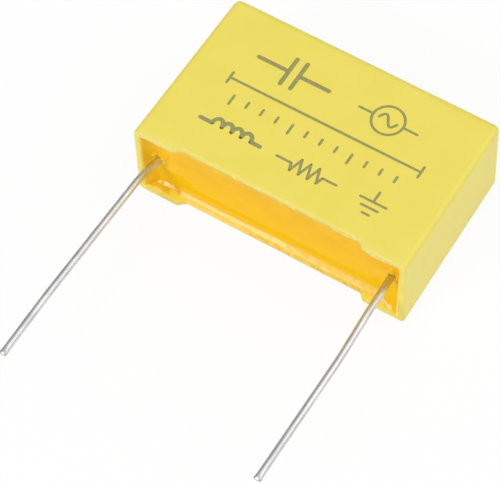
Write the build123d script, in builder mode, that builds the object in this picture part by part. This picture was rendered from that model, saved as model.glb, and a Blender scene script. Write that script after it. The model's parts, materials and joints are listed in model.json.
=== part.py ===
from build123d import *
import os
from math import cos, radians, sin, tan

# Radial box film capacitor, lying on one broad side with its leads towards -Y.
# Millimetres. The origin is the centre of the broad side that it lies on, and +Z is up.
os.makedirs("parts", exist_ok=True)

# moulded case
case_length = 32.0  # along X, at the mouth
case_height = 19.8  # from the feet to the closed end
case_thickness = 10.8  # at the mouth
case_wall = 0.75
case_floor = 0.9  # wall at the closed end
case_draft = 0.7  # degrees on all four sides, so that the case leaves its mould
corner_radius = 0.6  # on the four long edges
end_radius = 0.9  # round the closed end
cavity_radius = 0.35  # on the inner long edges
cavity_end_radius = 0.4  # round the inner floor
rim_round = 0.15  # on the lip of the mouth

# stand-off feet at the four corners of the rim
foot_reach = 4.6  # of full height along each broad side, from the case's end
foot_slope = 0.95  # run of the slope down to the recessed rim
foot_height = 0.68
foot_round = 0.5

# casting resin
resin_depth = 1.5  # its level surface below the feet
meniscus_rise = 0.5  # how far it climbs the walls
meniscus_film = 0.06  # its thickness at the top of that climb
collar_width = 0.45  # of the small cone that it draws up round each lead
collar_top = 0.12  # what is left of that width at the top
collar_rise = 0.35

# wound film roll, pressed flat, with its axis along X
roll_thickness = 7.8
roll_cover = 1.9  # resin between the roll and the level surface
roll_floor_gap = 0.8  # resin between the roll and the case's floor
core_width = 6.0  # slit that pressing leaves of the winding's hollow core
core_gap = 0.2
contact_thickness = 0.5  # sprayed metal on each end of the roll

# tinned round leads, each welded along one contact
lead_inset = 2.25  # from the case's end to the lead's pitch line
lead_diameter = 0.8
lead_weld = 11.0  # length that lies on the contact
lead_bite = 0.12  # how far the wire is pressed into the contact
lead_cut = 0.15  # edge that the cutter leaves
# Each wire's corners: how far it has strayed outwards from its pitch line, how far it has come
# outside the feet, and the radius of the bend there.
left_corners = [(0, -2.2, 3.0), (0.62, 0.4, 4.0), (1.12, 18.5, 60.0)]
right_corners = [(0, 2.5, 60.0), (0.32, 9.5, 60.0)]
left_reach = 26.2  # from the feet to the wire's cut end
right_reach = 25.0

past = 1.0  # how far a cutting tool runs past what it cuts

# The case lies on a drafted side, so its middle plane tips by the draft.
lean = radians(case_draft)
outward = Vector(0, -cos(lean), sin(lean))  # out of the mouth, square to the feet
across = Vector(0, sin(lean), cos(lean))  # through the thickness, towards the upper side
lower_rim = Vector(0, -case_height / cos(lean) / 2, 0)
mouth_centre = lower_rim + across * (case_thickness / 2)
mouth = Plane(origin=mouth_centre, x_dir=(1, 0, 0), z_dir=outward)
broadside = Plane(origin=mouth_centre, x_dir=(1, 0, 0), z_dir=across)  # its y runs inwards
leadside = Plane(origin=mouth_centre, x_dir=(1, 0, 0), z_dir=-across)  # its y runs outwards
inwards = Axis(mouth_centre, -outward)

cavity_length = case_length - 2 * case_wall
cavity_thickness = case_thickness - 2 * case_wall
cavity_depth = case_height - case_floor
roll_top = resin_depth + roll_cover
roll_bottom = cavity_depth - roll_floor_gap
roll_centre = mouth_centre - outward * ((roll_top + roll_bottom) / 2)
pitch_line = case_length / 2 - lead_inset  # the leads stand 27.5 apart, a standard pitch
contact_face = pitch_line - lead_diameter / 2 + lead_bite
roll_half = contact_face - contact_thickness


def depth_of(point):
    """How far a point lies in from the feet."""
    return -(point - mouth_centre).dot(outward)


def drafted_block(length, thickness, height, side_radius, closed_end_radius):
    """Block that narrows from the mouth to its closed end, as a moulding does."""
    with BuildPart() as block:
        with BuildSketch(mouth):
            Rectangle(length, thickness)
        extrude(amount=-height)
        sides = block.faces().filter_by(lambda face: abs(face.normal_at().dot(outward)) < 0.5)
        draft(sides, mouth, -case_draft)
        long_edges = block.edges().filter_by(lambda edge: abs(edge.tangent_at(0.5).dot(outward)) > 0.9)
        fillet(long_edges, side_radius)
        fillet(block.faces().sort_by(inwards)[-1].edges(), closed_end_radius)
    return block.part


# the space inside the case, which the resin fills
cavity = drafted_block(cavity_length, cavity_thickness, cavity_depth, cavity_radius, cavity_end_radius)


def crosses_wall(edge):
    """Whether an edge of the rim runs straight through a broad wall."""
    return edge.length < 2 * case_wall and abs(edge.tangent_at(0.5).dot(across)) > 0.9


# case
rim_foot = case_length / 2 - foot_reach
rim_middle = rim_foot - foot_slope
rim_end = case_length / 2 + past
with BuildPart() as case:
    add(drafted_block(case_length, case_thickness, case_height, corner_radius, end_radius))
    add(cavity, mode=Mode.SUBTRACT)
    # the rim between the feet is set back, with an S-shaped step to each foot
    with BuildSketch(broadside):
        with BuildLine():
            FilletPolyline(
                (-rim_end, 0),
                (-rim_foot, 0),
                (-rim_middle, foot_height),
                (rim_middle, foot_height),
                (rim_foot, 0),
                (rim_end, 0),
                radius=foot_round,
            )
            Polyline((rim_end, 0), (rim_end, -past), (-rim_end, -past), (-rim_end, 0))
        make_face()
    extrude(amount=case_thickness / 2 + past, both=True, mode=Mode.SUBTRACT)
    lip = case.edges().filter_by(lambda edge: depth_of(edge.center()) < foot_height + rim_round)
    fillet(lip.filter_by(lambda edge: not crosses_wall(edge)), rim_round)

# film roll, and the space that it takes up in the resin
roll_middle = Plane(origin=roll_centre, x_dir=outward, z_dir=(1, 0, 0))
with BuildPart() as roll_space:
    with BuildSketch(roll_middle):
        SlotOverall(roll_bottom - roll_top, roll_thickness)
    extrude(amount=roll_half, both=True)

with BuildPart() as film_winding:
    add(roll_space.part)
    with BuildSketch(roll_middle):
        SlotOverall(core_width, core_gap)
    extrude(amount=roll_half, both=True, mode=Mode.SUBTRACT)


def lead(side, corners, reach):
    """Wire that is welded along a contact and leaves through the resin; side is -1 or 1 along X."""
    route = [(side * pitch_line, -roll_top - lead_weld)]
    route += [(side * (pitch_line + stray), out) for stray, out, bend in corners]
    route += [(side * (pitch_line + corners[-1][0]), reach)]
    with BuildPart() as wire:
        with BuildLine(leadside) as middle:
            FilletPolyline(*route, radius=[bend for stray, out, bend in corners])
        with BuildSketch(Plane(origin=middle.line @ 0, z_dir=middle.line % 0)):
            Circle(lead_diameter / 2)
        sweep(path=middle.line)
        chamfer(wire.faces().sort_by(inwards)[0].edges(), lead_cut)
    return wire.part


lead_left = lead(-1, left_corners, left_reach)
lead_right = lead(1, right_corners, right_reach)


def end_contact(side, wire):
    """Metal sprayed over one end of the roll, with the wire pressed into it."""
    roll_end = Plane(origin=roll_centre + Vector(side * roll_half, 0, 0), x_dir=outward, z_dir=(side, 0, 0))
    with BuildPart() as contact:
        with BuildSketch(roll_end):
            SlotOverall(roll_bottom - roll_top, roll_thickness)
        extrude(amount=contact_thickness)
        add(wire, mode=Mode.SUBTRACT)
    return contact.part


end_contact_left = end_contact(-1, lead_left)
end_contact_right = end_contact(1, lead_right)

# dish in the resin's surface, whose rounded edge leaves the meniscus along the walls
dish_top = resin_depth - meniscus_rise
dish_inset = dish_top * tan(lean) + meniscus_film
with BuildPart() as dish:
    with BuildSketch(mouth.offset(past - dish_top)):
        RectangleRounded(
            cavity_length - 2 * dish_inset, cavity_thickness - 2 * dish_inset, cavity_radius - meniscus_film
        )
    extrude(amount=-meniscus_rise - past)
    fillet(dish.faces().sort_by(inwards)[-1].edges(), meniscus_rise * 0.96)


def stray_at(out, corners):
    """How far a wire has strayed from its pitch line when it has come so far outside the feet."""
    for (stray, start, bend), (next_stray, end, next_bend) in zip(corners, corners[1:]):
        if start < out <= end:
            return stray + (next_stray - stray) * (out - start) / (end - start)
    return corners[0][0] if out <= corners[0][1] else corners[-1][0]


# resin, cast round all that the case holds
with BuildPart() as epoxy_fill:
    add(cavity)
    split(bisect_by=mouth.offset(-dish_top), keep=Keep.BOTTOM)
    add(dish.part, mode=Mode.SUBTRACT)
    for side, corners in ((-1, left_corners), (1, right_corners)):
        exit_x = side * (pitch_line + stray_at(-resin_depth, corners))
        with Locations(mouth.offset(-resin_depth).location * Pos(exit_x, 0, 0)):
            Cone(
                lead_diameter / 2 + collar_width,
                lead_diameter / 2 + collar_top,
                collar_rise,
                align=(Align.CENTER, Align.CENTER, Align.MIN),
            )
    for inner in (roll_space.part, end_contact_left, end_contact_right, lead_left, lead_right):
        add(inner, mode=Mode.SUBTRACT)

pieces = {
    "case": case.part,
    "epoxy_fill": epoxy_fill.part,
    "film_winding": film_winding.part,
    "end_contact_left": end_contact_left,
    "end_contact_right": end_contact_right,
    "lead_left": lead_left,
    "lead_right": lead_right,
}
for name, piece in pieces.items():
    piece.label = name
    export_step(piece, f"parts/{name}.step")
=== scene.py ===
import json
import math

import bmesh
import bpy
from mathutils import Matrix, Vector, noise

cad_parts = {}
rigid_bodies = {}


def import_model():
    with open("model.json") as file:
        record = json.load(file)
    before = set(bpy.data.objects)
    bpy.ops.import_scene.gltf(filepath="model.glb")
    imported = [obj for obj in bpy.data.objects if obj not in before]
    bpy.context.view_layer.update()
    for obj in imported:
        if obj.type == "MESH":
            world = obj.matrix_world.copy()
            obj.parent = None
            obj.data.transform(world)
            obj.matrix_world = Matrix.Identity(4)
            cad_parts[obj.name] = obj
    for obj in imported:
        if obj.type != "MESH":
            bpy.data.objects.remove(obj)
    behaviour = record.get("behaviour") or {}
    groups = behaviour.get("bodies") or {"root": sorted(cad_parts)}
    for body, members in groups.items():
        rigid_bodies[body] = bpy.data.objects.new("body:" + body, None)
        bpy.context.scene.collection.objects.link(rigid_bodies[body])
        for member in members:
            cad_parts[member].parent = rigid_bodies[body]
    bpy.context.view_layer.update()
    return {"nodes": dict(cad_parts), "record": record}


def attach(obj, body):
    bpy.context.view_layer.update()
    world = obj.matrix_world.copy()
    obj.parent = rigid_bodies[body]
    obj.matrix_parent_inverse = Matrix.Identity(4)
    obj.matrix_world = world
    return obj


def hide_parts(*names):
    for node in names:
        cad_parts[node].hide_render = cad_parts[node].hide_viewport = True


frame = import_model()
mm = 0.001

# the capacitor is modelled upright: x along the case, y into it from the feet, z through its thickness
mounts = {mount["name"]: mount for mount in frame["record"]["mounts"]}
outward = Vector(mounts["left_feet"]["axis"]).normalized()
across = Vector((1, 0, 0)).cross(-outward)
mouthCentre = (Vector(mounts["left_feet"]["pos_m"]) + Vector(mounts["right_feet"]["pos_m"])) / 2
# and this turns it to the place where it rests
seat = Matrix.Translation(mouthCentre) @ Matrix((
    (1, 0, 0, 0),
    (0, -outward.y, across.y, 0),
    (0, -outward.z, across.z, 0),
    (0, 0, 0, 1)))

cameraView = dict(azimuth=35.254, elevation=59.389, roll=-3.977, lens=216.63, sensor=36, distance=0.30933,
                  aim=(-0.0021416, -0.0102222, 0.0010401), clip=(0.01, 10))


def placeCamera():
    azimuth, elevation, roll = (math.radians(cameraView[angle]) for angle in ("azimuth", "elevation", "roll"))
    back = Vector((math.sin(azimuth) * math.cos(elevation), -math.cos(azimuth) * math.cos(elevation),
                   math.sin(elevation)))
    right = Vector((0, 0, 1)).cross(back).normalized()
    up = back.cross(right)
    right, up = (right * math.cos(roll) + up * math.sin(roll), up * math.cos(roll) - right * math.sin(roll))
    bpy.ops.object.camera_add(location=Vector(cameraView["aim"]) + back * cameraView["distance"])
    camera = bpy.context.object
    camera.name = "camera"
    camera.rotation_euler = Matrix((right, up, back)).transposed().to_euler()
    camera.data.sensor_width = cameraView["sensor"]
    camera.data.lens = cameraView["lens"]
    camera.data.clip_start, camera.data.clip_end = cameraView["clip"]
    bpy.context.scene.camera = camera
    print("camera placed")


class Value:
    # an output socket that can be added, subtracted and multiplied like a number
    def __init__(self, nodes, socket):
        self.nodes, self.socket = nodes, socket

    def math(self, operation, *operands):
        return self.nodes.add("ShaderNodeMath", {"operation": operation}, dict(enumerate(operands)))

    def __add__(self, other):
        return self.math("ADD", self, other)

    __radd__ = __add__

    def __sub__(self, other):
        return self.math("SUBTRACT", self, other)

    def __rsub__(self, other):
        return self.math("SUBTRACT", other, self)

    def __mul__(self, other):
        return self.math("MULTIPLY", self, other)

    __rmul__ = __mul__

    def __abs__(self):
        return self.math("ABSOLUTE", self)

    def most(self, other):
        return self.math("MAXIMUM", self, other)

    def ramp(self, start, end):
        # 0 at start, 1 at end, smooth between them and level beyond
        rises = start < end
        return self.nodes.add("ShaderNodeMapRange", {"interpolation_type": "SMOOTHSTEP"}, {
            "Value": self, "From Min": min(start, end), "From Max": max(start, end),
            "To Min": 0 if rises else 1, "To Max": 1 if rises else 0})


class Nodes:
    # makes and links the nodes of one tree
    def __init__(self, tree):
        self.tree = tree

    def add(self, kind, settings=None, sockets=None, output=0):
        # gives back the output that is named or numbered, or the node itself when that is None
        node = self.tree.nodes.new(kind)
        for name, value in (settings or {}).items():
            setattr(node, name, value)
        for name, value in (sockets or {}).items():
            self.plug(node.inputs[name], value)
        return node if output is None else Value(self, node.outputs[output])

    def plug(self, socket, value):
        if isinstance(value, Value):
            self.tree.links.new(value.socket, socket)
        else:
            socket.default_value = value


class Finish(Nodes):
    # one material; place is the surface point in the capacitor's own axes, in millimetres
    def __init__(self, name, constants):
        self.material = bpy.data.materials.new(name)
        self.material.use_nodes = True
        super().__init__(self.material.node_tree)
        self.shader = self.tree.nodes["Principled BSDF"]
        self.surface(constants)
        coordinates = self.add("ShaderNodeTexCoord", output="Object")
        self.place = self.add("ShaderNodeMapping", {"vector_type": "TEXTURE"}, {
            "Vector": coordinates, "Location": mouthCentre, "Rotation": seat.to_euler(),
            "Scale": (mm, mm, mm)}, "Vector")
        split = self.add("ShaderNodeSeparateXYZ", sockets={"Vector": self.place}, output=None)
        self.x, self.y, self.z = (Value(self, socket) for socket in split.outputs)
        self.colour = None

    def noise(self, scale, detail=3.0, roughness=0.55, stretch=None, offset=(0, 0, 0)):
        where = self.place
        if stretch:
            where = self.add("ShaderNodeMapping", sockets={
                "Vector": self.place, "Scale": stretch, "Location": offset}, output="Vector")
        return self.add("ShaderNodeTexNoise", {"noise_dimensions": "3D"}, {
            "Vector": where, "Scale": scale, "Detail": detail, "Roughness": roughness})

    def mix(self, factor, first, second):
        # a Mix node's colours are its inputs 6 and 7 and its output 2
        return self.add("ShaderNodeMix", {"data_type": "RGBA"}, {0: factor, 6: first, 7: second}, 2)

    def paint(self, mask, colour):
        # lays a colour over what is there so far
        self.colour = self.mix(mask, self.colour, colour)

    def bump(self, height, strength, distance, normal=None):
        sockets = {"Height": height, "Strength": strength, "Distance": distance}
        if normal:
            sockets["Normal"] = normal
        return self.add("ShaderNodeBump", sockets=sockets, output="Normal")

    def surface(self, sockets):
        for name, value in sockets.items():
            self.plug(self.shader.inputs[name], value)
        return self.material


def screenColour(red, green, blue):
    # a colour as a screen shows it, turned to the linear values that sockets take
    channels = [c / 255 for c in (red, green, blue)]
    return tuple(c / 12.92 if c < 0.04045 else ((c + 0.055) / 1.055) ** 2.4 for c in channels) + (1.0,)


white = (1, 1, 1, 1)
studio = dict(floorSize=6.0, floorDrop=0.0001, floorColour=screenColour(252, 252, 252), ownWhite=0.9,
              # the world: a bright panel overhead, grey left of it, and dark flags low down on both sides
              worldStrength=0.87, backdrop=1.0, panel=0.45, panelTowards=(0.31, 0.42, 0.85),
              panelEdge=(0.86, 0.97), flagTop=(0.75, 0.30), leftFlag=0.76, leftGrey=0.42, rightFlag=0.64,
              # place, width, height and watts of each lamp, and the point that they all face
              lamps=dict(frontSoftbox=((-0.16, -0.42, 0.34), 0.16, 0.06, 0.92),
                         rightSoftbox=((0.45, 0.16, 0.30), 0.45, 0.45, 0.5)),
              lampAim=(0, 0, 0.005))


def seenBy(nodes, first, *others):
    # 1 for the kinds of ray that are named
    rays = nodes.add("ShaderNodeLightPath", output=None)
    seen = Value(nodes, rays.outputs[first])
    for kind in others:
        seen = seen.most(Value(nodes, rays.outputs[kind]))
    return seen


def buildFloor():
    bpy.ops.mesh.primitive_plane_add(size=studio["floorSize"], location=(0, 0, -studio["floorDrop"]))
    floor = bpy.context.object
    floor.name = "floor"
    paper = bpy.data.materials.new("studioPaper")
    paper.use_nodes = True
    paper.node_tree.nodes.clear()
    nodes = Nodes(paper.node_tree)
    # paper that looks white to the camera and still takes a faint shadow
    lit = nodes.add("ShaderNodeBsdfDiffuse", sockets={"Color": studio["floorColour"]})
    own = nodes.add("ShaderNodeEmission", sockets={"Color": white})
    share = seenBy(nodes, "Is Camera Ray", "Is Glossy Ray", "Is Transmission Ray") * studio["ownWhite"]
    mixed = nodes.add("ShaderNodeMixShader", sockets={0: share, 1: lit, 2: own})
    nodes.add("ShaderNodeOutputMaterial", sockets={"Surface": mixed}, output=None)
    floor.data.materials.append(paper)


def buildWorld():
    world = bpy.data.worlds.new("studioWorld")
    bpy.context.scene.world = world
    world.use_nodes = True
    world.node_tree.nodes.clear()
    nodes = Nodes(world.node_tree)
    place = nodes.add("ShaderNodeTexCoord", output="Generated")
    split = nodes.add("ShaderNodeSeparateXYZ", sockets={0: place}, output=None)
    sideways, depth, height = (Value(nodes, socket) for socket in split.outputs)
    toRight, toBack, toTop = studio["panelTowards"]
    panel = (sideways * toRight + depth * toBack + height * toTop).ramp(*studio["panelEdge"])
    low = height.ramp(*studio["flagTop"])
    leftLow = low * sideways.ramp(0.1, -0.5) * studio["leftFlag"]
    leftHigh = sideways.ramp(-0.1, -0.42) * studio["leftGrey"]
    rightLow = low * sideways.ramp(-0.1, 0.5) * studio["rightFlag"]
    flags = leftLow.most(leftHigh) + rightLow
    level = (1 - flags) * studio["worldStrength"] + panel * studio["panel"]
    lighting = nodes.add("ShaderNodeBackground", sockets={"Color": white, "Strength": level})
    backdrop = nodes.add("ShaderNodeBackground", sockets={"Color": white, "Strength": studio["backdrop"]})
    seen = seenBy(nodes, "Is Camera Ray", "Is Transmission Ray")
    mixed = nodes.add("ShaderNodeMixShader", sockets={0: seen, 1: lighting, 2: backdrop})
    nodes.add("ShaderNodeOutputWorld", sockets={"Surface": mixed}, output=None)


def hangLamps():
    for name, (position, width, height, watts) in studio["lamps"].items():
        bpy.ops.object.light_add(type="AREA", location=position)
        lamp = bpy.context.object
        lamp.name = name
        lamp.data.shape, lamp.data.energy = "RECTANGLE", watts
        lamp.data.size, lamp.data.size_y = width, height
        aim = Vector(studio["lampAim"]) - Vector(position)
        lamp.rotation_euler = aim.to_track_quat("-Z", "Y").to_euler()
    print("studio built")


def deselectAll():
    if bpy.context.object and bpy.context.object.mode == "EDIT":
        bpy.ops.object.mode_set(mode="OBJECT")
    for item in bpy.context.scene.objects:
        item.select_set(False)


def makeActive(piece):
    piece.select_set(True)
    bpy.context.view_layer.objects.active = piece


def openMesh(piece):
    deselectAll()
    makeActive(piece)
    bpy.ops.object.mode_set(mode="EDIT")


def closeMesh(piece):
    bpy.ops.object.mode_set(mode="OBJECT")
    makeActive(piece)


def pick(piece, kind, test):
    # selects the vertices, edges or faces whose middle, in millimetres, passes test(point, element)
    bpy.ops.mesh.select_mode(type={"verts": "VERT", "edges": "EDGE", "faces": "FACE"}[kind])
    bpy.ops.mesh.select_all(action="DESELECT")
    shape = bmesh.from_edit_mesh(piece.data)
    for element in getattr(shape, kind):
        if kind == "verts":
            middle = element.co
        elif kind == "edges":
            middle = (element.verts[0].co + element.verts[1].co) / 2
        else:
            middle = element.calc_center_median()
        if test(middle / mm, element):
            element.select = True
    shape.select_flush_mode()
    bmesh.update_edit_mesh(piece.data)


def applyModifier(piece, kind, name, **settings):
    modifier = piece.modifiers.new(name, kind)
    for setting, value in settings.items():
        setattr(modifier, setting, value)
    bpy.ops.object.modifier_apply(modifier=modifier.name)


def applyPlace():
    bpy.ops.object.transform_apply(location=True, rotation=True, scale=True)


def seatPiece(piece, node, finish):
    # turns the finished mesh from the modelling axes to its resting place, gives it its finish and hides the
    # frame's node that it stands for
    piece.data.transform(seat)
    piece.data.materials.clear()
    piece.data.materials.append(finish)
    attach(piece, "root")
    if node:
        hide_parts(node)


def clipped(value):
    return max(0, min(1, value))


def unevenness(size, x, y, z):
    return size * noise.noise(Vector((x, y, z)))


case = dict(length=32.0, height=19.8, thickness=10.8, wall=0.75, floor=0.9, draft=0.7, cornerRadius=0.6,
            endRadius=0.9, cavityRadius=0.35, cavityEndRadius=0.4, edgeSteps=6, lip=0.15, lipSteps=4,
            # the feet: how long each one is and how long its S-step
            feet=dict(left=(4.68, 0.78), right=(4.92, 0.66)), footHeight=0.68, footRound=0.35,
            # points along the rim for the S-steps and for the uneven lip
            stepPoints=10, stepMargin=0.16, columnGap=0.25, columns=51, rowGap=0.6, rows=7,
            # the long walls sink in at the mouth, over this span and depth
            bow=0.07, bowSpan=15, bowDepth=18.9,
            # the right end wall stands in at the mouth between these two x, and the moulded lip is uneven
            endStand=0.24, endBand=(14.85, 15.42), lipNoise=0.03, flashNoise=0.04, endNoise=0.03,
            # flash left along the upper lip's inner edge: (place, half width, how far it stands in)
            flash=[(-14.2, 0.5, 0.06), (-9.0, 0.7, 0.13), (-6.9, 0.3, 0.05), (-4.3, 0.5, 0.15),
                   (-1.6, 0.3, 0.06), (1.0, 0.3, 0.10), (2.5, 0.4, 0.13), (5.1, 0.3, 0.06), (7.4, 0.4, 0.17),
                   (8.6, 0.6, 0.20), (12.4, 0.6, 0.24), (13.5, 0.4, 0.26), (14.3, 0.4, 0.22)],
            colours=dict(plastic=screenColour(243, 225, 92), plasticLight=screenColour(245, 228, 99),
                         speckle=screenColour(248, 232, 140), lip=screenColour(244, 232, 150),
                         stain=screenColour(240, 200, 78), inside=screenColour(250, 228, 92),
                         corner=screenColour(254, 206, 40), rim=screenColour(255, 232, 176),
                         paintedShadeLip=screenColour(226, 200, 112), flash=screenColour(255, 230, 150),
                         thinFilm=screenColour(250, 207, 66), thickFilm=screenColour(252, 213, 76),
                         paintedHighlightFleck=screenColour(255, 224, 150), darkFleck=screenColour(222, 166, 18),
                         paintedGlow=screenColour(255, 216, 40)))
draftRun = math.tan(math.radians(case["draft"]))
# the noise that places painted highlight and painted shade flecks in the wrinkles of the resin along the
# lower lip, where it lies on the case and where it lies on itself
fleckNoise = dict(scale=2.3, detail=2.0, stretch=(1, 1, 0.6), offset=(3, 0, 0))


def footCut(x):
    # how far the rim is cut back at x, in millimetres: nothing over the feet, an S-step, then level
    foot, slope = case["feet"]["left" if x < 0 else "right"]
    reach, height = case["length"] / 2 - foot - abs(x), case["footHeight"]
    grade = height / slope
    soft = case["footRound"] * math.tan(math.atan(grade) / 2)
    if reach <= -soft:
        return 0.0
    if reach < soft:
        return grade * (reach + soft) ** 2 / (4 * soft)
    if reach < slope - soft:
        return grade * reach
    if reach < slope + soft:
        return height - grade * (slope + soft - reach) ** 2 / (4 * soft)
    return height


def wallBow(x, y):
    # the long walls sink towards each other at the mouth, as thin moulded walls do
    return case["bow"] * max(0, 1 - (x / case["bowSpan"]) ** 2) * max(0, 1 - y / case["bowDepth"])


def draftedBlock(name, length, height, thickness, longRadius, endRadius):
    # a block that narrows away from the mouth, rounded along its edges and at its far end, open at the mouth
    bpy.ops.mesh.primitive_cube_add(size=mm, location=(0, height / 2 * mm, 0))
    block = bpy.context.object
    block.name = name
    block.scale = (length, height, thickness)
    applyPlace()
    openMesh(block)
    pick(block, "verts", lambda p, v: p.y > height / 2)
    narrowX, narrowZ = (1 - 2 * height * draftRun / size for size in (length, thickness))
    bpy.ops.transform.resize(value=(narrowX, 1, narrowZ), center_override=(0, height * mm, 0))
    pick(block, "edges", lambda p, e: abs(e.verts[0].co.y - e.verts[1].co.y) > height / 2 * mm)
    bpy.ops.transform.edge_bevelweight(value=longRadius / endRadius)
    pick(block, "edges", lambda p, e: p.y > height - 0.01)
    bpy.ops.transform.edge_bevelweight(value=1.0)
    closeMesh(block)
    applyModifier(block, "BEVEL", "softEdges", limit_method="WEIGHT", width=endRadius * mm,
                  segments=case["edgeSteps"], use_clamp_overlap=False, miter_outer="MITER_ARC",
                  loop_slide=False)
    openMesh(block)
    pick(block, "faces", lambda p, f: p.y < 0.001 and abs(f.normal.y) > 0.9)
    bpy.ops.mesh.delete(type="ONLY_FACE")
    closeMesh(block)
    return block


def rimColumns():
    # where points are wanted along the rim: close together over the S-steps, evenly spaced elsewhere
    columns = []
    margin = case["stepMargin"]
    for sign, (foot, slope) in zip((-1, 1), case["feet"].values()):
        footEnd = case["length"] / 2 - foot
        steps = [footEnd + margin - step * (slope + 2 * margin) / case["stepPoints"]
                 for step in range(case["stepPoints"] + 1)]
        plain = [step * case["columnGap"] for step in range(case["columns"])]
        columns += [sign * x for x in steps + [x for x in plain if not steps[-1] - 0.1 < x < steps[0] + 0.1]]
    return sorted({round(x, 4) for x in columns})


def cutRim(outer, columns):
    # the rim between the feet is cut back, sliding along the drafted walls, and the walls sink a little
    rim, near, wallSide, innerEdge = 0.3, 0.02, 3, 4.9
    for side in (-1, 1):
        for x in columns:
            cut, sink = footCut(x), wallBow(x, 0)
            uneven = unevenness(case["lipNoise"], x * 1.3, side * 7.0, 0.4) if cut > 0 else 0
            pick(outer, "verts", lambda p, v: p.y < rim and abs(p.x - x) < near and p.z * side > wallSide)
            bpy.ops.transform.translate(value=(0, (cut + uneven) * mm, -side * (cut * draftRun + sink) * mm))
            flash = unevenness(case["flashNoise"], x * 2.1, 5.0, side * 2.0)
            if side > 0:
                flash += sum(deep * math.exp(-((x - middle) / half) ** 2)
                             for middle, half, deep in case["flash"])
            pick(outer, "verts",
                 lambda p, v: p.y < cut + rim and abs(p.x - x) < near and wallSide < p.z * side < innerEdge)
            bpy.ops.transform.translate(value=(0, 0, -side * flash * mm))


def bendEndWall(outer):
    # the right end wall stands in a little, most of all low down
    start, end = case["endBand"]
    shape = bmesh.from_edit_mesh(outer.data)
    for point in shape.verts:
        x, y, z = point.co / mm
        if y < 0.3 and start < x < end and abs(z) < 4.72:
            stand = case["endStand"] * clipped((4 - z) / 7) + unevenness(case["endNoise"], 2.0, 7.0, z * 1.6)
            point.co.x -= stand * clipped((x - start) / 0.4) * clipped((end - x) / 0.1) * mm
    bmesh.update_edit_mesh(outer.data)


def buildCase():
    wall = case["wall"]
    outer = draftedBlock("caseShell", case["length"], case["height"], case["thickness"],
                         case["cornerRadius"], case["endRadius"])
    inner = draftedBlock("cavity", case["length"] - 2 * wall, case["height"] - case["floor"],
                         case["thickness"] - 2 * wall, case["cavityRadius"], case["cavityEndRadius"])
    openMesh(inner)
    bpy.ops.mesh.select_all(action="SELECT")
    bpy.ops.mesh.flip_normals()
    closeMesh(inner)
    deselectAll()
    inner.select_set(True)
    makeActive(outer)
    bpy.ops.object.join()
    columns = rimColumns()
    openMesh(outer)
    pick(outer, "edges", lambda p, e: e.is_boundary)
    bpy.ops.mesh.bridge_edge_loops()
    for x in columns:
        bpy.ops.mesh.select_all(action="SELECT")
        bpy.ops.mesh.bisect(plane_co=(x * mm, 0, 0), plane_no=(1, 0, 0))
    for step in range(-case["rows"], case["rows"] + 1):
        bpy.ops.mesh.select_all(action="SELECT")
        bpy.ops.mesh.bisect(plane_co=(0, 0, step * case["rowGap"] * mm), plane_no=(0, 0, 1))
    # rounded lip
    pick(outer, "edges", lambda p, e: all(v.co.y < 0.001 * mm for v in e.verts) and any(
        f.normal.y > -0.9 for f in e.link_faces))
    bpy.ops.mesh.bevel(offset=case["lip"] * mm, segments=case["lipSteps"], profile=0.5, affect="EDGES",
                       clamp_overlap=False)
    cutRim(outer, columns)
    bendEndWall(outer)
    bpy.ops.mesh.select_all(action="SELECT")
    bpy.ops.mesh.remove_doubles(threshold=0.00001 * mm)
    closeMesh(outer)
    bpy.ops.object.shade_smooth_by_angle(angle=math.radians(35))
    applyModifier(outer, "WEIGHTED_NORMAL", "flatWalls", keep_sharp=True, weight=80)
    print("case built", len(outer.data.polygons), "faces")
    return outer


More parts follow.
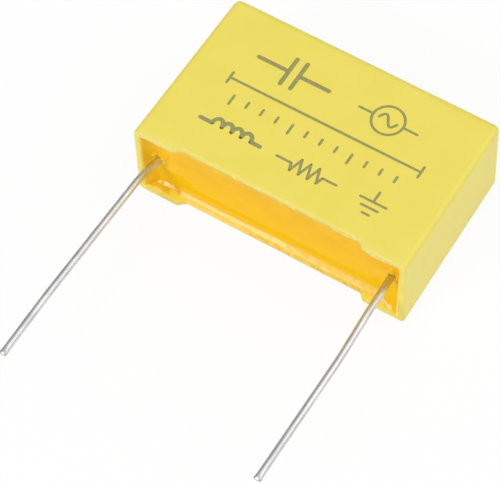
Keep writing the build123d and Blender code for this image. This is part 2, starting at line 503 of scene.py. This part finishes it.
def casePlastic():
    finish = Finish("casePlastic", {"IOR": 1.5, "Emission Strength": 0.13})
    x, y, z, colours = finish.x, finish.y, finish.z, case["colours"]
    cloud = finish.noise(0.22, 2.0)
    fine = finish.noise(9.0, 4.0, 0.6)
    pits = finish.noise(34.0, 2.0, 0.6)
    finish.colour = finish.mix(cloud.ramp(0.3, 0.7), colours["plastic"], colours["plasticLight"])
    finish.paint(fine.ramp(0.55, 0.8) * 0.12, colours["speckle"])
    # the lip is painted a paler, whiter yellow
    lip = y.ramp(1.0, 0.55) * (abs(z) - 4.7).ramp(0.0, 0.15)
    finish.paint(lip * 0.2, colours["lip"])
    # resin has stained the inside of the mouth and the lip's inner edge in blotches, and the inside of the
    # mouth is also painted lighter as painted light against its shade
    blotch = finish.noise(1.6, 3.0, 0.6)
    mouth = y.ramp(4.0, 2.5)
    within = (abs(x) - 15.45).ramp(0.0, -0.12) * (abs(z) - 4.92).ramp(0.0, -0.22) * mouth
    inside = (abs(x) - 15.3).ramp(0.0, -0.04) * (abs(z) - 4.68).ramp(0.0, -0.04) * mouth
    finish.paint(within * blotch.ramp(0.35, 0.65) * 0.6, colours["stain"])
    # painted light: the inside of the mouth is lightened against its shade
    finish.paint(inside * 0.9, colours["inside"])
    # it lies thick in the lower left corner, with a painted highlight above it: a short pale stroke
    cornerEdge = (x + 12.4 + 0.8 * (blotch - 0.5)).ramp(0.1, -0.4)
    corner = inside * cornerEdge * y.ramp(0.32, 0.44) * z.ramp(-4.0, -4.4)
    finish.paint(corner * 0.9, colours["corner"])
    # painted highlight: a short pale stroke on the wall above the corner
    paintedHighlightLine = abs(y - 0.40 + 0.1 * (x + 13.9)).ramp(0.17, 0.07)
    rim = paintedHighlightLine * abs(x + 13.9).ramp(0.6, 0.4) * inside * z.ramp(-4.0, -4.4)
    finish.paint(rim * 0.9, colours["rim"])
    # painted shade darkens the inner half of the upper lip, and painted highlights lie on it as pale strokes
    # along the flash
    flash = finish.noise(1.5, 3.0, 0.6, stretch=(1, 1, 0.3), offset=(0, 4, 0))
    upperEdge = (z - 4.6).ramp(0.0, 0.08) * (z - 5.02).ramp(0.1, -0.1)
    upper = upperEdge * y.ramp(1.0, 0.8) * (abs(x) - 15.3).ramp(0.1, -0.1)
    finish.paint(upper * 0.45, colours["paintedShadeLip"])
    # painted highlight: pale strokes along the flash
    finish.paint(upper * flash.ramp(0.52, 0.6) * 0.8, colours["flash"])
    # a film of resin wraps the lower lip between the feet, all but its outer edge
    ragged = finish.noise(2.2, 3.0, 0.6)
    filmEdge = (z + 4.95 + 0.3 * (ragged - 0.5)).ramp(-0.04, 0.05)
    film = filmEdge * z.ramp(-4.2, -4.5) * (abs(x) - 10.9).ramp(0.1, -0.5) * mouth
    # it lies thin and pale on the left, thick and wrinkled on the right
    wrinkled = x.ramp(-6.0, -1.0)
    finish.paint(film * 0.95, finish.mix(wrinkled, colours["thinFilm"], colours["thickFilm"]))
    fleck = finish.noise(**fleckNoise)
    # painted highlight: pale flecks on the wrinkled film
    finish.paint(fleck.ramp(0.50, 0.44) * film * wrinkled * z.ramp(-4.84, -4.76) * 0.7, colours["paintedHighlightFleck"])
    # painted shade: dark flecks in the film's wrinkles
    finish.paint(fleck.ramp(0.50, 0.56) * film * wrinkled * z.ramp(-4.64, -4.70) * 0.8, colours["darkFleck"])
    grain = finish.bump(fine * 0.6 + pits * 0.4, 0.12, 0.00004)
    wrinkle = finish.bump((ragged - 0.5) * film * (0.3 + 0.7 * wrinkled), 0.6, 0.0005, grain)
    # painted light: the inside of the mouth and the thin film on the lower lip glow by emission, standing for
    # daylight through the thin wall
    paintedGlowMask = inside.most(film * (1 - wrinkled)) * (1 - 0.8 * corner)
    return finish.surface({"Base Color": finish.colour, "Roughness": 0.36 + 0.08 * cloud - 0.22 * film,
                           "Normal": wrinkle,
                           "Emission Color": finish.mix(paintedGlowMask, (0, 0, 0, 1), colours["paintedGlow"])})


resin = dict(depth=1.5, columns=380, rows=160, intoWall=0.012, collar=0.38, collarReach=0.17, spill=0.17,
             # how uneven it dried: the level, the rise up the lower and upper walls, and the wrinkled edge
             levelNoise=0.012, lowerNoise=0.03, upperNoise=0.1, crinkle=0.03, bead=0.07, beadNoise=0.24,
             # rise of the resin up each wall, and how far out the rise starts: (place along the wall, rise,
             # reach) and the share of that reach over which it steepens before it runs straight
             lowerWall=[(-15.3, 1.40, 0.60, 0.8), (-14.6, 0.42, 0.42, 0.4), (-14.2, 0.42, 0.40, 0.3),
                        (-13.4, 0.42, 0.39, 0.3), (-12.5, 0.40, 0.37, 0.3), (-12.0, 0.44, 0.50, 0.6),
                        (-11.5, 0.73, 0.82, 0.66), (-9.0, 0.71, 0.80, 0.64), (-5.0, 0.73, 0.82, 0.6),
                        (0.0, 0.76, 0.82, 0.45), (4.0, 0.80, 0.90, 0.42), (8.0, 0.82, 0.92, 0.40),
                        (11.0, 0.82, 0.92, 0.42), (12.0, 0.76, 0.90, 0.5), (12.9, 0.70, 0.95, 0.9),
                        (13.9, 1.16, 1.70, 1.0), (15.3, 1.40, 1.90, 1.0)],
             upperWall=[(-15.3, 1.2, 0.35), (-13.0, 0.5, 0.35), (11.0, 0.5, 0.35), (15.3, 1.2, 0.4)],
             leftWall=[(-4.7, 1.42, 1.5), (-2.0, 1.36, 1.25), (2.0, 1.36, 1.25), (4.7, 1.42, 1.1)],
             rightWall=[(-4.7, 1.4, 0.45), (-3.0, 0.7, 0.4), (3.0, 0.6, 0.35), (4.7, 1.2, 0.4)],
             # soft lumps and hollows: (x, z, reach along x, reach along z, height)
             lumps=[(-14.75, -3.9, 0.30, 0.40, 0.20), (-13.86, -4.45, 0.10, 0.30, 0.10),
                    (-13.5, -3.0, 0.9, 0.5, -0.08), (-14.45, 0.35, 0.22, 0.3, 0.35),
                    (-13.25, 0.5, 0.25, 0.2, 0.35), (-13.5, -0.7, 0.3, 0.2, 0.18),
                    (13.1, 0.75, 0.3, 0.25, 0.30), (14.35, 0.3, 0.22, 0.35, 0.35),
                    (14.5, -0.9, 0.25, 0.3, 0.22), (-2.0, 0.5, 9.0, 2.2, -0.05)],
             colours=dict(orange=screenColour(250, 191, 18), amber=screenColour(255, 199, 14),
                          lower=screenColour(255, 206, 10), ends=screenColour(255, 204, 32),
                          thin=screenColour(253, 203, 50), climbLeft=screenColour(254, 206, 66),
                          climbRight=screenColour(255, 214, 86), upper=screenColour(238, 208, 74),
                          edge=screenColour(255, 236, 184), darkFleck=screenColour(222, 166, 18)))


def alongTable(table, x):
    # the values of a table at x, eased between its rows
    if x <= table[0][0]:
        return table[0][1:]
    for first, second in zip(table, table[1:]):
        if x <= second[0]:
            t = (x - first[0]) / (second[0] - first[0])
            t = t * t * (3 - 2 * t)
            return [a + (b - a) * t for a, b in zip(first[1:], second[1:])]
    return table[-1][1:]


def climb(distance, rise, reach, onset=0.8):
    # the meniscus: hollow where it leaves the level, then a straight slope up to the wall
    t = 1 - max(distance, 0) / reach
    if t <= 0:
        return 0.0
    return rise * (t * t / (2 * onset) if t < onset else t - onset / 2) / (1 - onset / 2)


def resinDepth(x, z):
    # how deep the resin's surface lies at x and z, measured from the feet
    halfLength = case["length"] / 2 - case["wall"] - resin["depth"] * draftRun
    halfWidth = case["thickness"] / 2 - case["wall"] - resin["depth"] * draftRun
    toLower, toUpper = halfWidth + z, halfWidth - z
    toSide = halfLength - abs(x)
    rise, reach, onset = alongTable(resin["lowerWall"], x)
    # the right half of the lower edge dried in wrinkles
    ragged = clipped((x + 5) / 5) * clipped((12.5 - x) / 2)
    crinkle = noise.noise(Vector((x * 3.3, 9.0, z * 1.5)))
    rise += unevenness(resin["lowerNoise"], x * 1.1, 3.0, 0.0) + ragged * resin["crinkle"] * crinkle
    height = climb(toLower, rise, reach, onset)
    bead = math.exp(-((toLower + 0.03) / 0.10) ** 2)
    height += ragged * bead * (resin["bead"] + unevenness(resin["beadNoise"], x * 2.2, 1.0, z * 4.0))
    rise, reach = alongTable(resin["upperWall"], x)
    height = max(height, climb(toUpper, rise + unevenness(resin["upperNoise"], x * 1.4, 21.0, 0.0), reach))
    rise, reach = alongTable(resin["leftWall" if x < 0 else "rightWall"], z)
    height = max(height, climb(toSide, rise, reach))
    # a collar round each lead
    strayX, strayZ, _ = leads["strays"]["left" if x < 0 else "right"]
    fromLead = math.hypot(x - math.copysign(leads["pitchLine"], x) - strayX, z - strayZ)
    height += resin["collar"] * math.exp(-max(fromLead - 0.38, 0) / resin["collarReach"])
    for lumpX, lumpZ, wide, deep, tall in resin["lumps"]:
        away = ((x - lumpX) / wide) ** 2 + ((z - lumpZ) / deep) ** 2
        if away < 9:
            height += tall * math.exp(-away)
    height += unevenness(resin["levelNoise"], x * 0.8, z * 0.8, 3.3)
    # the resin never stands above the lip next to it
    lip = footCut(x) + 0.06 - 0.16 * ragged if min(toLower, toUpper) < 0.5 else 0.06
    return max(resin["depth"] - height, lip)


def crowded(t, share):
    # spreads -1 to 1 so that points crowd towards both ends
    return share * math.sin(t * math.pi / 2) + (1 - share) * t


def buildResin():
    halfLength = case["length"] / 2 - case["wall"]
    halfWidth = case["thickness"] / 2 - case["wall"]
    bpy.ops.mesh.primitive_grid_add(x_subdivisions=resin["columns"], y_subdivisions=resin["rows"],
                                    size=2 * mm, rotation=(math.pi / 2, 0, 0))
    fill = bpy.context.object
    fill.name = "resinFill"
    applyPlace()
    openMesh(fill)
    bpy.ops.mesh.select_all(action="SELECT")
    shape = bmesh.from_edit_mesh(fill.data)
    for point in shape.verts:
        # rows crowd towards the walls, where the surface climbs
        u, w = point.co.x / mm, point.co.z / mm
        x = crowded(u, 0.6) * (halfLength + resin["intoWall"])
        z = crowded(w, 0.5) * (halfWidth + resin["intoWall"])
        # in the ragged stretch it has run over the lip's inner edge
        spill = resin["spill"] * clipped((x + 11.2) / 3) * clipped((12 - x) / 2)
        z -= spill * max(0, 1 - (z + halfWidth) / 0.3)
        y = resinDepth(x, z)
        point.co = Vector((x - math.copysign(y * draftRun * abs(u), x), y,
                           z - math.copysign(y * draftRun * abs(w), z))) * mm
    bmesh.update_edit_mesh(fill.data)
    # its sides run down the drafted walls to the case's floor
    pick(fill, "edges", lambda p, e: e.is_boundary)
    bpy.ops.mesh.extrude_region_move()
    floor, aboveFloor, endWall, longWall = case["height"] - case["floor"], 0.02, 14, 4
    shape = bmesh.from_edit_mesh(fill.data)
    for point in shape.verts:
        if point.select:
            narrower = (floor - point.co.y / mm) * draftRun * mm
            if abs(point.co.x) > endWall * mm:
                point.co.x -= math.copysign(narrower, point.co.x)
            if abs(point.co.z) > longWall * mm:
                point.co.z -= math.copysign(narrower, point.co.z)
            point.co.y = (floor - aboveFloor) * mm
    bmesh.update_edit_mesh(fill.data)
    bpy.ops.mesh.edge_face_add()
    bpy.ops.mesh.select_all(action="SELECT")
    bpy.ops.mesh.normals_make_consistent(inside=False)
    closeMesh(fill)
    bpy.ops.object.shade_smooth_by_angle(angle=math.radians(60))
    print("resin built", len(fill.data.polygons), "faces")
    return fill


def castResin():
    finish = Finish("castResin", {"IOR": 1.15, "Coat IOR": 1.5, "Coat Roughness": 0.18})
    x, y, z, colours = finish.x, finish.y, finish.z, resin["colours"]
    cloud = finish.noise(0.35, 3.0)
    finish.colour = finish.mix(cloud.ramp(0.3, 0.7), colours["orange"], colours["amber"])
    # painted light: the resin is painted lighter and more saturated towards the lower wall, and stays duller
    # towards the upper wall where its shade falls
    finish.paint(z.ramp(1.5, -3.0) * 0.7, colours["lower"])
    finish.paint(x.ramp(-11.5, -13.0).most(x.ramp(11.5, 13.0) * z.ramp(0.5, -1.5)), colours["ends"])
    # thin resin on the lower meniscus lets the case's yellow through, and its climb is also painted a paler
    # yellow as a painted sheen
    low = z.ramp(-2.9, -3.4) * x.ramp(-12.4, -11.6) * x.ramp(13.4, 12.6)
    finish.paint(y.ramp(1.505, 1.47) * low * 0.8, colours["thin"])
    # painted sheen: the climb up the lower wall is painted paler
    yellow = finish.mix(x.ramp(-6.0, 0.0), colours["climbLeft"], colours["climbRight"])
    finish.paint(y.ramp(1.46, 1.32) * low, yellow)
    # painted shade and painted reflection: beside the upper wall the resin takes a duller tone of the wall's
    # yellow
    beside = z.ramp(1.9, 3.3) * x.ramp(-13.5, -9.5) * x.ramp(15.0, 12.0)
    finish.paint(beside * 0.75, colours["upper"])
    # a painted highlight along its edge on the lower wall, beside the right lead
    edge = abs(y - 0.92 + (x - 12.9) * 0.49).ramp(0.15, 0.05) * x.ramp(12.6, 12.9)
    finish.paint(edge * z.ramp(-3.9, -4.2) * 0.9, colours["edge"])
    # painted shade: dark flecks where the resin runs over the lower lip
    fleck = finish.noise(**fleckNoise).ramp(0.50, 0.56) * x.ramp(-6.0, -1.0)
    finish.paint(fleck * z.ramp(-4.56, -4.68) * 0.8, colours["darkFleck"])
    ripple = finish.bump(finish.noise(2.2, 2.0), 0.06, 0.0001)
    # the thin resin on the menisci dried glossier than the level
    rolled = (z + 4.0).ramp(0.0, -0.25) * x.ramp(12.8, 12.2)
    raised = (y - 1.38).ramp(0.0, -0.1) * (abs(x) - 13.0).ramp(0.0, 0.3) * z.ramp(-3.0, -2.0)
    raised = raised * (abs(x) - 14.9).ramp(0.0, -0.4)
    rolledGloss = 0.2 - 0.11 * x.ramp(-12.4, -11.6) + 0.04 * x.ramp(-4.0, 1.0)
    return finish.surface({"Base Color": finish.colour, "Roughness": 0.07 + 0.08 * cloud, "Normal": ripple,
                           "Coat Weight": (rolled * rolledGloss).most(raised * 0.26)})


leads = dict(diameter=0.8, pitchLine=13.75, sides=28, bendSteps=8, ringGap=1.5, ringSpread=0.97,
             # middle lines run (x, distance outside the feet, bend radius)
             left=[(-13.75, -14.4, 0), (-13.75, -2.2, 3.0), (-14.37, 0.4, 4.0), (-14.87, 18.5, 60.0),
                   (-14.87, 26.2, 0)],
             right=[(13.75, -14.4, 0), (13.75, 2.5, 60.0), (14.07, 9.5, 60.0), (14.07, 25.0, 0)],
             # how far each wire stands off that line up to the mouth, and over what run it returns from there
             strays=dict(left=(0.10, -0.15, 4.0), right=(-0.11, 1.08, 2.6)), mouth=1.3,
             # the end that the side cutter pinched: (distance from the tip, thickness, width)
             pinch=[(0.85, 1.0, 1.0), (0.55, 0.90, 1.03), (0.3, 0.74, 1.10), (0.12, 0.58, 1.10),
                    (0.03, 0.42, 0.98), (0.0, 0.26, 0.80)],
             colours=dict(bright=screenColour(224, 223, 221), grey=screenColour(206, 205, 203),
                          drawn=screenColour(186, 184, 180)))


def leadStations(corners, stray):
    # points along the wire's middle line, with the bends rounded off
    path = [Vector((x, -out, 0)) for x, out, radius in corners]
    stations = [path[0]]
    for index in range(1, len(path) - 1):
        before = (path[index] - path[index - 1]).normalized()
        after = (path[index + 1] - path[index]).normalized()
        reach = corners[index][2] * math.tan(before.angle(after) / 2)
        for step in range(leads["bendSteps"] + 1):
            t = step / leads["bendSteps"]
            stations.append((1 - t) ** 2 * (path[index] - before * reach) + 2 * t * (1 - t) * path[index]
                            + t ** 2 * (path[index] + after * reach))
        # straight runs get rings too, for the return to the line
        run = path[index + 1] - stations[-1]
        count = int(run.length / leads["ringGap"])
        start = stations[-1].copy()
        stations += [start + run * (step / count) * leads["ringSpread"] for step in range(1, count)]
    stations.append(path[-1])
    # inside the mouth the wire stands off the line and comes back to it a few millimetres out
    strayX, strayZ, returnRun = stray
    for point in stations:
        off = 1 if point.y > leads["mouth"] else max(0, 1 - (leads["mouth"] - point.y) / returnRun)
        off = off * off * (3 - 2 * off)
        point.x += strayX * off
        point.z += strayZ * off
    return stations


def buildLead(name, corners, stray):
    stations = leadStations(corners, stray)
    bpy.ops.mesh.primitive_circle_add(vertices=leads["sides"], radius=leads["diameter"] / 2 * mm,
                                      fill_type="NGON", location=stations[0] * mm,
                                      rotation=(math.pi / 2, 0, 0))
    wire = bpy.context.object
    wire.name = name
    applyPlace()
    openMesh(wire)
    bpy.ops.mesh.select_all(action="SELECT")
    heading = Vector((0, -1, 0))
    for here, there in zip(stations, stations[1:-1]):
        bpy.ops.mesh.extrude_region_move(TRANSFORM_OT_translate={"value": (there - here) * mm})
        turn = heading.xy.angle_signed((there - here).xy)
        bpy.ops.transform.rotate(value=turn, orient_axis="Z", center_override=there * mm)
        heading = there - here
    last, tip = stations[-2], stations[-1]
    aim = (tip - last).normalized()
    wideNow = thickNow = 1.0
    for back, thick, wide in leads["pinch"]:
        there = tip - aim * back
        bpy.ops.mesh.extrude_region_move(TRANSFORM_OT_translate={"value": (there - last) * mm})
        bpy.ops.transform.resize(value=(wide / wideNow, 1, thick / thickNow), center_override=there * mm)
        last, wideNow, thickNow = there, wide, thick
    bpy.ops.mesh.select_all(action="SELECT")
    bpy.ops.mesh.normals_make_consistent(inside=False)
    closeMesh(wire)
    bpy.ops.object.shade_smooth_by_angle(angle=math.radians(38))
    print(name, "built", len(wire.data.polygons), "faces")
    return wire


def tinnedWire():
    finish = Finish("tinnedWire", {"Metallic": 1.0, "IOR": 1.5})
    colours = leads["colours"]
    drawn = finish.noise(3.0, 3.0, stretch=(6, 0.12, 6))
    patch = finish.noise(0.9, 2.0, stretch=(1.5, 0.5, 1.5))
    finish.colour = finish.mix(patch.ramp(0.35, 0.7), colours["bright"], colours["grey"])
    finish.paint(drawn.ramp(0.55, 0.75) * 0.35, colours["drawn"])
    lines = finish.bump(drawn, 0.10, 0.00002)
    return finish.surface({"Base Color": finish.colour, "Roughness": 0.30 + 0.10 * patch, "Normal": lines})


# neutral schematic symbols and rules in printing ink, on the upper broad side
marking = dict(stroke=0.28, heavy=0.46, film=0.006, capSides=14, capRings=8, tubeSteps=2,
               colours=dict(ink=screenColour(150, 150, 96), wornInk=screenColour(172, 166, 92)))


def inkStroke(points, width, closed):
    # a round-ended pen line through the points
    curve = bpy.data.curves.new("inkStroke", "CURVE")
    curve.dimensions = "3D"
    line = curve.splines.new("POLY")
    line.points.add(len(points) - 1)
    for point, (x, y) in zip(line.points, points):
        point.co = (x * mm, y * mm, 0, 1)
    line.use_cyclic_u = closed
    curve.bevel_depth, curve.bevel_resolution = width / 2 * mm, marking["tubeSteps"]
    curve.use_fill_caps = not closed
    stroke = bpy.data.objects.new("inkStroke", curve)
    bpy.context.scene.collection.objects.link(stroke)
    deselectAll()
    makeActive(stroke)
    bpy.ops.object.convert(target="MESH")
    pieces = [bpy.context.object]
    if not closed:
        for x, y in (points[0], points[-1]):
            bpy.ops.mesh.primitive_uv_sphere_add(segments=marking["capSides"], ring_count=marking["capRings"],
                                                 radius=width / 2 * mm, location=(x * mm, y * mm, 0))
            applyPlace()
            pieces.append(bpy.context.object)
    return pieces


def circle(x, y, radius, count=40):
    return [(x + radius * math.cos(i * math.tau / count), y + radius * math.sin(i * math.tau / count))
            for i in range(count)]


def sineWave(x, y, width, height, count=24):
    return [(x + width * (i / count - 0.5), y + height * math.sin(i * math.tau / count))
            for i in range(count + 1)]


def markingStrokes():
    # the pen lines of all the symbols: (points, width, whether the line closes)
    thin, heavy = marking["stroke"], marking["heavy"]
    strokes = []

    def draw(width, *lines, closed=False):
        strokes.extend((line, width, closed) for line in lines)

    # capacitor
    x, y, gap, reach, plate = -5.6, 14.3, 0.62, 4.2, 1.75
    draw(heavy, [(x - reach, y), (x - gap, y)], [(x + gap, y), (x + reach, y)],
         [(x - gap, y - plate), (x - gap, y + plate)], [(x + gap, y - plate), (x + gap, y + plate)])
    # alternating source
    draw(thin, circle(5.6, y, 1.75), closed=True)
    draw(thin, sineWave(5.6, y, 2.1, 0.62), [(2.2, y), (3.85, y)], [(7.35, y), (9.0, y)])
    # pitch line with end ticks
    start, end = -11.0, 11.6
    draw(thin, [(start, 10.6), (end, 10.6)], *([(x, 9.9), (x, 11.3)] for x in (start, end)))
    # scale of short ticks under it, every fourth one longer
    for step in range(12):
        x = -9.4 + step * 1.75
        draw(thin, [(x, 8.5 - (0.8 if step % 4 == 0 else 0.3)), (x, 8.9)])
    # coil
    y, hump, tall = 4.9, 1.15, 0.8
    halfTurn = [step * math.pi / 12 for step in range(13)]
    draw(heavy, *([(-9.6 + hump * turn + 0.575 * (1 - math.cos(a)), y + tall * math.sin(a)) for a in halfTurn]
                  for turn in range(4)))
    draw(heavy, [(-11.0, y), (-9.6, y)], [(-5.0, y), (-3.9, y)])
    # resistor
    peaks = [(0.1 + step * 0.52, y + (0.85 if step % 2 else -0.85)) for step in range(7)]
    zigzag = [(-1.9, y), (-0.18, y)] + peaks + [(3.5, y), (5.1, y)]
    draw(thin, *([first, second] for first, second in zip(zigzag, zigzag[1:])))
    # earth
    x = 9.3
    draw(thin, [(x, 6.4), (x, 5.1)],
         *([(x - half, y), (x + half, y)] for half, y in ((1.5, 5.1), (0.95, 4.3), (0.4, 3.5))))
    return strokes


def buildMarking():
    pieces = []
    for points, width, closed in markingStrokes():
        pieces += inkStroke(points, width, closed)
    deselectAll()
    for piece in pieces:
        piece.select_set(True)
    bpy.context.view_layer.objects.active = pieces[0]
    bpy.ops.object.join()
    ink = bpy.context.object
    ink.name = "marking"
    # flattened to a film of ink and laid on the drafted broad side
    ink.data.transform(Matrix.Translation((0, 0, case["thickness"] / 2 * mm))
                       @ Matrix.Rotation(-math.radians(case["draft"]), 4, "X")
                       @ Matrix.Diagonal((1, 1, marking["film"] / marking["stroke"] * 2, 1)))
    for point in ink.data.vertices:
        point.co.z -= wallBow(point.co.x / mm, point.co.y / mm) * mm
    bpy.ops.object.shade_smooth()
    print("marking built", len(ink.data.polygons), "faces")
    return ink


def printingInk():
    finish = Finish("printingInk", {"IOR": 1.5})
    worn = finish.noise(3.0, 4.0, 0.65)
    colour = finish.mix(worn.ramp(0.4, 0.75), marking["colours"]["ink"], marking["colours"]["wornInk"])
    return finish.surface({"Base Color": colour, "Roughness": 0.5 + 0.1 * worn})


# what the resin hides keeps its shape from the frame and only gets its looks here
winding = dict(silver=screenColour(196, 194, 188), shade=screenColour(150, 150, 148), turns=9.0)
contact = dict(dark=screenColour(120, 121, 122), light=screenColour(178, 178, 176), grains=12.0)


def woundFilm():
    finish = Finish("woundFilm", {"Metallic": 0.7, "IOR": 1.5})
    turns = finish.add("ShaderNodeTexWave", {"wave_type": "BANDS", "bands_direction": "Z"}, {
        "Vector": finish.place, "Scale": winding["turns"], "Distortion": 0.6, "Detail": 2.0}, output=1)
    colour = finish.mix(turns, winding["silver"], winding["shade"])
    return finish.surface({"Base Color": colour, "Roughness": 0.28 + 0.15 * turns})


def sprayedZinc():
    finish = Finish("sprayedZinc", {"Metallic": 0.9, "IOR": 1.5})
    grains = finish.noise(contact["grains"], 5.0, 0.7)
    colour = finish.mix(grains, contact["dark"], contact["light"])
    return finish.surface({"Base Color": colour, "Roughness": 0.55 + 0.2 * grains,
                           "Normal": finish.bump(grains, 0.6, 0.0001)})


bpy.context.scene.view_settings.view_transform = "Standard"
placeCamera()
buildFloor()
buildWorld()
hangLamps()
seatPiece(buildCase(), "case", casePlastic())
seatPiece(buildResin(), "epoxy_fill", castResin())
wireFinish = tinnedWire()
for side in ("left", "right"):
    wire = buildLead(side + "Lead", leads[side], leads["strays"][side])
    seatPiece(wire, "lead_" + side, wireFinish)
seatPiece(buildMarking(), None, printingInk())
rollFinish, contactFinish = woundFilm(), sprayedZinc()
for name, finish in (("film_winding", rollFinish), ("end_contact_left", contactFinish),
                     ("end_contact_right", contactFinish)):
    frame["nodes"][name].data.materials.clear()
    frame["nodes"][name].data.materials.append(finish)
print("inside finished")
